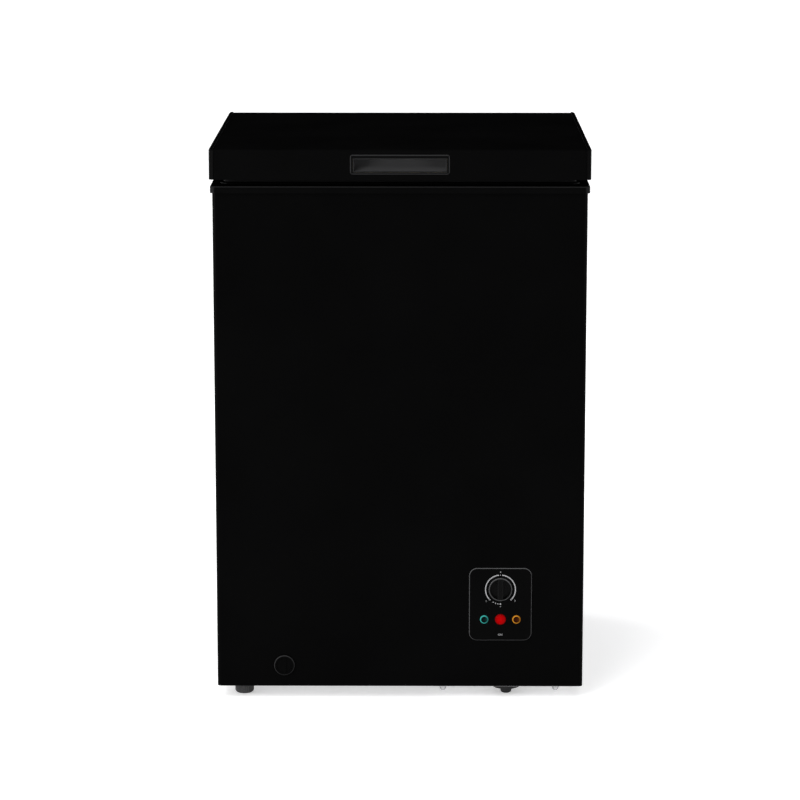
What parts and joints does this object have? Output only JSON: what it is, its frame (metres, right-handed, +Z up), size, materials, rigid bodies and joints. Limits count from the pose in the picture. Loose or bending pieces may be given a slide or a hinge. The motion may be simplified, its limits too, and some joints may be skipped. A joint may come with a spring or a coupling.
{
  "type": "chest freezer",
  "caption": "Compact upright-box chest freezer with a hinged insulated lid, scooped lid handle, front control panel with dial and lamps, drain and sliding wire basket.",
  "frame": {"origin": "floor level, centre of the footprint of the closed freezer", "axes": "+Z up, -Y towards the front with the control panel, +X towards the viewer's right"},
  "size_m": [0.56, 0.53, 0.836],
  "materials": {
    "black_paint": "satin black powder paint",
    "black_trim": "fine-grained black moulding",
    "bezel_plastic": "satin charcoal moulding",
    "grey_scoop": "dark grey moulding",
    "liner_aluminium": "embossed sheet",
    "white_plastic": "vacuum-formed white sheet",
    "foam": "rigid foam",
    "galvanised": "galvanised sheet",
    "zinc": "zinc plated",
    "rubber": "matt black rubber",
    "gasket": "soft dark vinyl",
    "compressor_paint": "gloss black enamel",
    "copper": "drawn tube",
    "wire_white": "white plastic coating",
    "lens_green": "clear teal",
    "lens_red": "clear red",
    "lens_amber": "clear amber",
    "board": "circuit board",
    "electrical": "off-white moulding",
    "loom": "braided sleeve",
    "drain_grey": "grey moulding",
    "foot_plastic": "dark grey ribbed moulding"
  },
  "bodies": {
    "cabinet": {"cabinet_wrap": "black_paint", "back_panel": "black_paint", "bottom_plate": "galvanised", "compartment_wall": "galvanised", "inner_liner": "liner_aluminium", "cabinet_foam": "foam", "rim_frame": "black_trim", "drain_pipe": "drain_grey", "foot_sockets": "drain_grey", "control_bezel": "bezel_plastic", "lens_green": "lens_green", "lens_red": "lens_red", "lens_amber": "lens_amber", "indicator_board": "board", "thermostat": "electrical", "sensor_tube": "copper", "compressor_tray": "galvanised", "tray_studs": "zinc", "foot_right_front": "rubber", "foot_right_back": "rubber", "compressor": "compressor_paint", "compressor_grommets": "rubber", "compressor_bolts": "zinc", "relay_cover": "electrical", "wiring_loom": "loom", "evaporator_coil": "copper", "condenser_coil": "copper", "discharge_pipe": "copper", "suction_pipe": "copper", "process_pipe": "copper", "filter_drier": "copper", "capillary_tube": "copper", "compressor_cover": "black_paint", "cover_screws": "zinc", "cord_gland": "black_trim", "hinge_bracket_left": "zinc", "hinge_bracket_right": "zinc", "hinge_pin_left": "zinc", "hinge_pin_right": "zinc", "hinge_spring_left": "zinc", "hinge_spring_right": "zinc", "bracket_screws": "zinc"},
    "lid": {"lid_skin": "black_paint", "lid_trim_left": "black_trim", "lid_trim_right": "black_trim", "lid_foam": "foam", "lid_liner": "white_plastic", "lid_gasket": "gasket", "handle_frame": "black_trim", "handle_cup": "grey_scoop", "hinge_leaf_left": "zinc", "hinge_leaf_right": "zinc", "leaf_screws": "zinc"},
    "knob": {"temperature_knob": "bezel_plastic", "thermostat_shaft": "zinc"},
    "drain_dial": {"drain_dial": "black_trim"},
    "drain_plug": {"drain_plug": "drain_grey"},
    "basket": {"basket": "wire_white"},
    "front_levelling_foot": {"foot_left_front": "foot_plastic"},
    "rear_levelling_foot": {"foot_left_back": "foot_plastic"}
  },
  "joints": [
    {"name": "lid_hinge", "type": "hinge", "parent": "cabinet", "child": "lid", "pos_m": [0, 0.257, 0.784], "axis": [-1, 0, 0], "range_deg": [0, 80]},
    {"name": "temperature_dial", "type": "hinge", "parent": "cabinet", "child": "knob", "pos_m": [0.1508, -0.257, 0.171], "axis": [0, 1, 0], "range_deg": [-180, 135]},
    {"name": "drain_dial_pull", "type": "slide", "parent": "cabinet", "child": "drain_dial", "axis": [0, -1, 0], "range_m": [0, 0.018]},
    {"name": "drain_plug_lift", "type": "slide", "parent": "cabinet", "child": "drain_plug", "axis": [0, 0, 1], "range_m": [0, 0.04]},
    {"name": "basket_slide", "type": "slide", "parent": "cabinet", "child": "basket", "axis": [1, 0, 0], "range_m": [-0.224, 0]},
    {"name": "front_foot_turn", "type": "hinge", "parent": "cabinet", "child": "front_levelling_foot", "pos_m": [-0.2368, -0.223, 0.02], "axis": [0, 0, 1], "continuous": true},
    {"name": "rear_foot_turn", "type": "hinge", "parent": "cabinet", "child": "rear_levelling_foot", "pos_m": [-0.2368, 0.2, 0.02], "axis": [0, 0, 1], "continuous": true}
  ]
}
